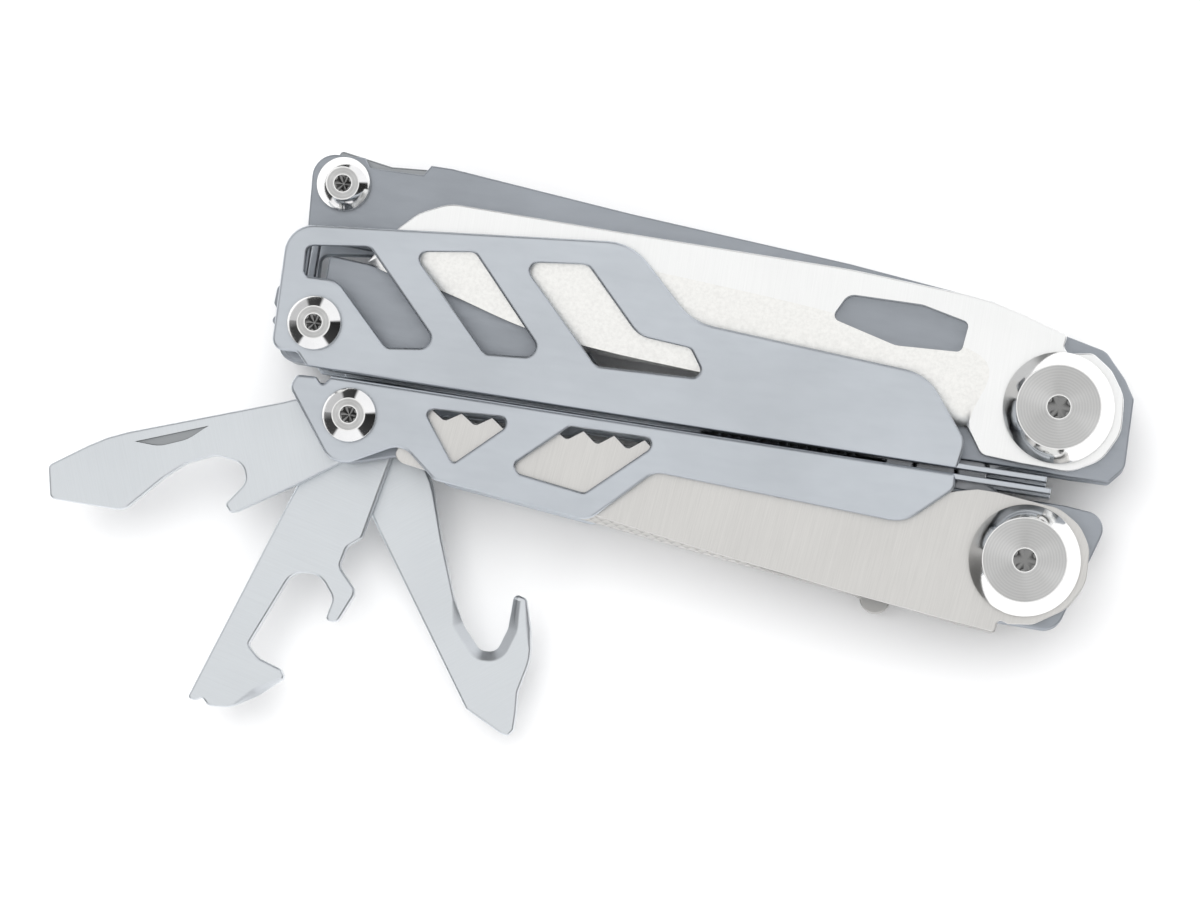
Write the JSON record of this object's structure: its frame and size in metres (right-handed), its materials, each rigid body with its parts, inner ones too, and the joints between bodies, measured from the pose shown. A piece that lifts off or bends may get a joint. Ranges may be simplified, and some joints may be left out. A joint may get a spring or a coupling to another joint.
{
  "type": "folding multi tool",
  "caption": "Folding multi tool with windowed steel handles, folding pliers, outer blades and inner tools that fan out on screw pivots.",
  "frame": {"origin": "under the middle of the tool's box, at the faces of the far screw heads that it rests on", "axes": "+X along the folded handles towards the main pivots, +Y towards the upper handle, +Z out of the near side"},
  "size_m": [0.1298, 0.0696, 0.0196],
  "materials": {
    "cover_steel": "satin, bead-blasted, with bright rounded edges",
    "liner_steel": "dark satin",
    "blade_steel": "bright satin with a ground bevel",
    "saw_steel": "satin, brushed across its length",
    "tool_steel": "satin with bright edges",
    "plier_steel": "satin",
    "screw_steel": "turned faces and polished chamfers"
  },
  "bodies": {
    "pliers_upper_half": {"plier_half_upper": "plier_steel", "plier_pivot_pin": "plier_steel"},
    "pliers_lower_half": {"plier_half_lower": "plier_steel"},
    "upper_handle": {"upper_cover_near": "cover_steel", "upper_cover_far": "cover_steel", "upper_liner_near": "liner_steel", "upper_liner_far": "liner_steel", "upper_end_spacer": "liner_steel", "upper_pivot_screw": "screw_steel", "upper_pivot_barrel": "screw_steel", "cover_screw": "screw_steel", "cover_barrel": "screw_steel", "upper_tool_screw": "screw_steel", "upper_tool_barrel": "screw_steel"},
    "lower_handle": {"lower_cover_near": "cover_steel", "lower_cover_far": "cover_steel", "lower_liner_near": "liner_steel", "lower_liner_far": "liner_steel", "lower_pivot_screw": "screw_steel", "lower_pivot_barrel": "screw_steel", "lower_tool_screw": "screw_steel", "lower_tool_barrel": "screw_steel"},
    "knife": {"knife_blade": "blade_steel"},
    "second_blade": {"second_blade": "blade_steel"},
    "saw": {"saw_blade": "saw_steel"},
    "file": {"file_blade": "saw_steel"},
    "flat_driver": {"flat_driver": "tool_steel"},
    "can_opener": {"can_opener": "tool_steel"},
    "cord_hook": {"cord_hook": "tool_steel"},
    "small_driver": {"small_driver": "tool_steel"},
    "cross_driver": {"cross_driver": "tool_steel"},
    "awl": {"awl": "tool_steel"}
  },
  "joints": [
    {"name": "upper_handle_unfold", "type": "hinge", "parent": "pliers_upper_half", "child": "upper_handle", "pos_m": [0.0559, 0.0169, 0.0098], "axis": [0, 0, 1], "range_deg": [-165, 0]},
    {"name": "jaw_open", "type": "hinge", "parent": "pliers_upper_half", "child": "pliers_lower_half", "pos_m": [0.0423, 0.0075, 0.0098], "axis": [0, 0, 1], "range_deg": [-30, 0]},
    {"name": "lower_handle_unfold", "type": "hinge", "parent": "pliers_lower_half", "child": "lower_handle", "pos_m": [0.0547, -0.0019, 0.0098], "axis": [0, 0, -1], "range_deg": [-165, 0]},
    {"name": "knife_open", "type": "hinge", "parent": "upper_handle", "child": "knife", "pos_m": [0.0559, 0.0169, 0.0098], "axis": [0, 0, 1], "range_deg": [-180, 0]},
    {"name": "second_blade_open", "type": "hinge", "parent": "upper_handle", "child": "second_blade", "pos_m": [0.0559, 0.0169, 0.0098], "axis": [0, 0, 1], "range_deg": [-180, 0]},
    {"name": "saw_open", "type": "hinge", "parent": "lower_handle", "child": "saw", "pos_m": [0.0547, -0.0019, 0.0098], "axis": [0, 0, 1], "range_deg": [0, 180]},
    {"name": "file_open", "type": "hinge", "parent": "lower_handle", "child": "file", "pos_m": [0.0547, -0.0019, 0.0098], "axis": [0, 0, 1], "range_deg": [0, 180]},
    {"name": "flat_driver_turn", "type": "hinge", "parent": "lower_handle", "child": "flat_driver", "pos_m": [-0.0287, 0.0028, 0.0098], "axis": [0, 0, 1], "range_deg": [0, 151]},
    {"name": "can_opener_turn", "type": "hinge", "parent": "lower_handle", "child": "can_opener", "pos_m": [-0.0287, 0.0028, 0.0098], "axis": [0, 0, 1], "range_deg": [-56, 95]},
    {"name": "cord_hook_turn", "type": "hinge", "parent": "lower_handle", "child": "cord_hook", "pos_m": [-0.0287, 0.0028, 0.0098], "axis": [0, 0, 1], "range_deg": [-105, 45]},
    {"name": "small_driver_open", "type": "hinge", "parent": "upper_handle", "child": "small_driver", "pos_m": [-0.0343, 0.0307, 0.0098], "axis": [0, 0, 1], "range_deg": [0, 180]},
    {"name": "cross_driver_open", "type": "hinge", "parent": "upper_handle", "child": "cross_driver", "pos_m": [-0.0343, 0.0307, 0.0098], "axis": [0, 0, 1], "range_deg": [0, 180]},
    {"name": "awl_open", "type": "hinge", "parent": "upper_handle", "child": "awl", "pos_m": [-0.0343, 0.0307, 0.0098], "axis": [0, 0, 1], "range_deg": [0, 180]}
  ],
  "couplings": [
    {"joint": "jaw_open", "follows": "upper_handle_unfold", "ratio": 0.18182}
  ]
}
